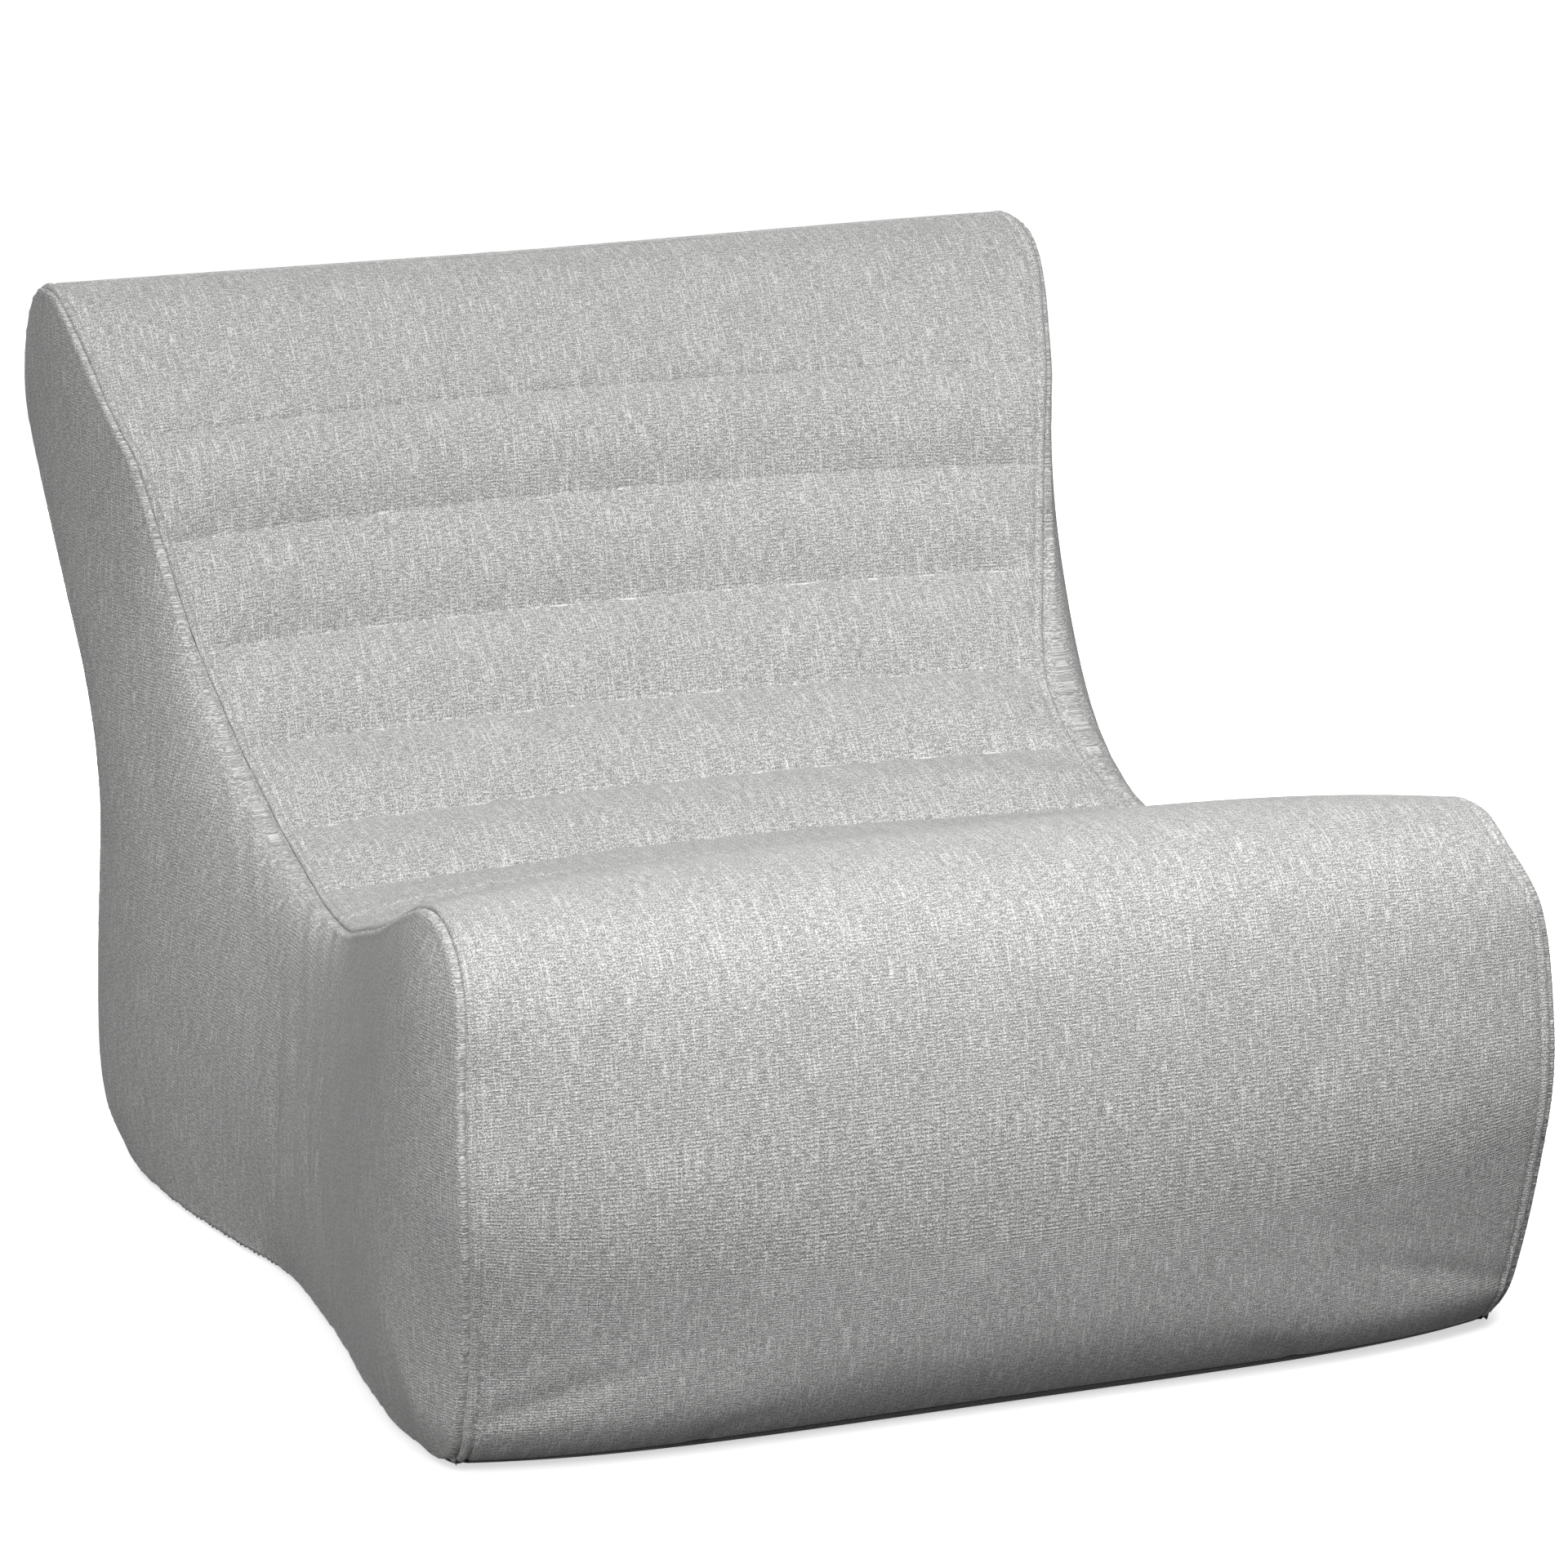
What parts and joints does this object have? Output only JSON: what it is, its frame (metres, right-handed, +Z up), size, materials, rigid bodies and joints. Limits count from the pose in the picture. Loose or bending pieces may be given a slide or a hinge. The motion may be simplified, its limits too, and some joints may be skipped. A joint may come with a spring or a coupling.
{
  "type": "bean bag chair",
  "caption": "Low lounge bean bag chair with a rolled front, a quilted leaning back, inner bead bags and zips.",
  "frame": {"origin": "middle of the chair's bounding box, on the floor under the base", "axes": "+X across the chair, to the left of a person sitting in it; +Y from the front to the back; +Z up"},
  "size_m": [0.92, 1.1482, 0.7453],
  "materials": {
    "cover_fabric": "woven melange upholstery, matt",
    "base_fabric": "plain dark hard-wearing weave",
    "lining": "plain white non-woven cloth",
    "wadding": "soft white fibre wadding",
    "beads": "expanded foam beads",
    "thread": "twisted polyester thread",
    "zip_tape": "woven tape",
    "zip_coil": "nylon coil",
    "zip_metal": "satin nickel"
  },
  "bodies": {
    "chair": {"side_panel_left": "cover_fabric", "side_panel_right": "cover_fabric", "front_panel": "cover_fabric", "quilted_panel": "cover_fabric", "rear_panel": "cover_fabric", "rear_hem": "cover_fabric", "base_panel": "base_fabric", "quilt_wadding": "wadding", "quilt_backing": "lining", "quilting_thread": "thread", "side_topstitch_left": "thread", "side_topstitch_right": "thread", "crook_web": "lining", "seat_liner": "lining", "back_liner": "lining", "seat_beads": "beads", "back_beads": "beads", "cover_zip_tape_upper": "zip_tape", "cover_zip_tape_lower": "zip_tape", "cover_zip_coil_upper": "zip_coil", "cover_zip_coil_lower": "zip_coil", "cover_zip_stops": "zip_metal", "seat_zip_tape_upper": "zip_tape", "seat_zip_tape_lower": "zip_tape", "seat_zip_coil_upper": "zip_coil", "seat_zip_coil_lower": "zip_coil", "seat_zip_stops": "zip_metal", "back_zip_tape_upper": "zip_tape", "back_zip_tape_lower": "zip_tape", "back_zip_coil_upper": "zip_coil", "back_zip_coil_lower": "zip_coil", "back_zip_stops": "zip_metal"},
    "cover_slider": {"cover_zip_slider": "zip_metal"},
    "cover_pull": {"cover_zip_pull": "zip_metal"},
    "seat_bag_slider": {"seat_zip_slider": "zip_metal"},
    "back_bag_slider": {"back_zip_slider": "zip_metal"}
  },
  "joints": [
    {"name": "cover_zip_slide", "type": "slide", "parent": "chair", "child": "cover_slider", "axis": [1, 0, 0], "range_m": [-0.6874, 0]},
    {"name": "cover_pull_swing", "type": "hinge", "parent": "cover_slider", "child": "cover_pull", "pos_m": [0.3437, 0.38272, 0.15], "axis": [0, 0, -1], "range_deg": [0, 175]},
    {"name": "seat_zip_slide", "type": "slide", "parent": "chair", "child": "seat_bag_slider", "axis": [1, 0, 0], "range_m": [-0.3874, 0]},
    {"name": "back_zip_slide", "type": "slide", "parent": "chair", "child": "back_bag_slider", "axis": [1, 0, 0], "range_m": [-0.3874, 0]}
  ]
}
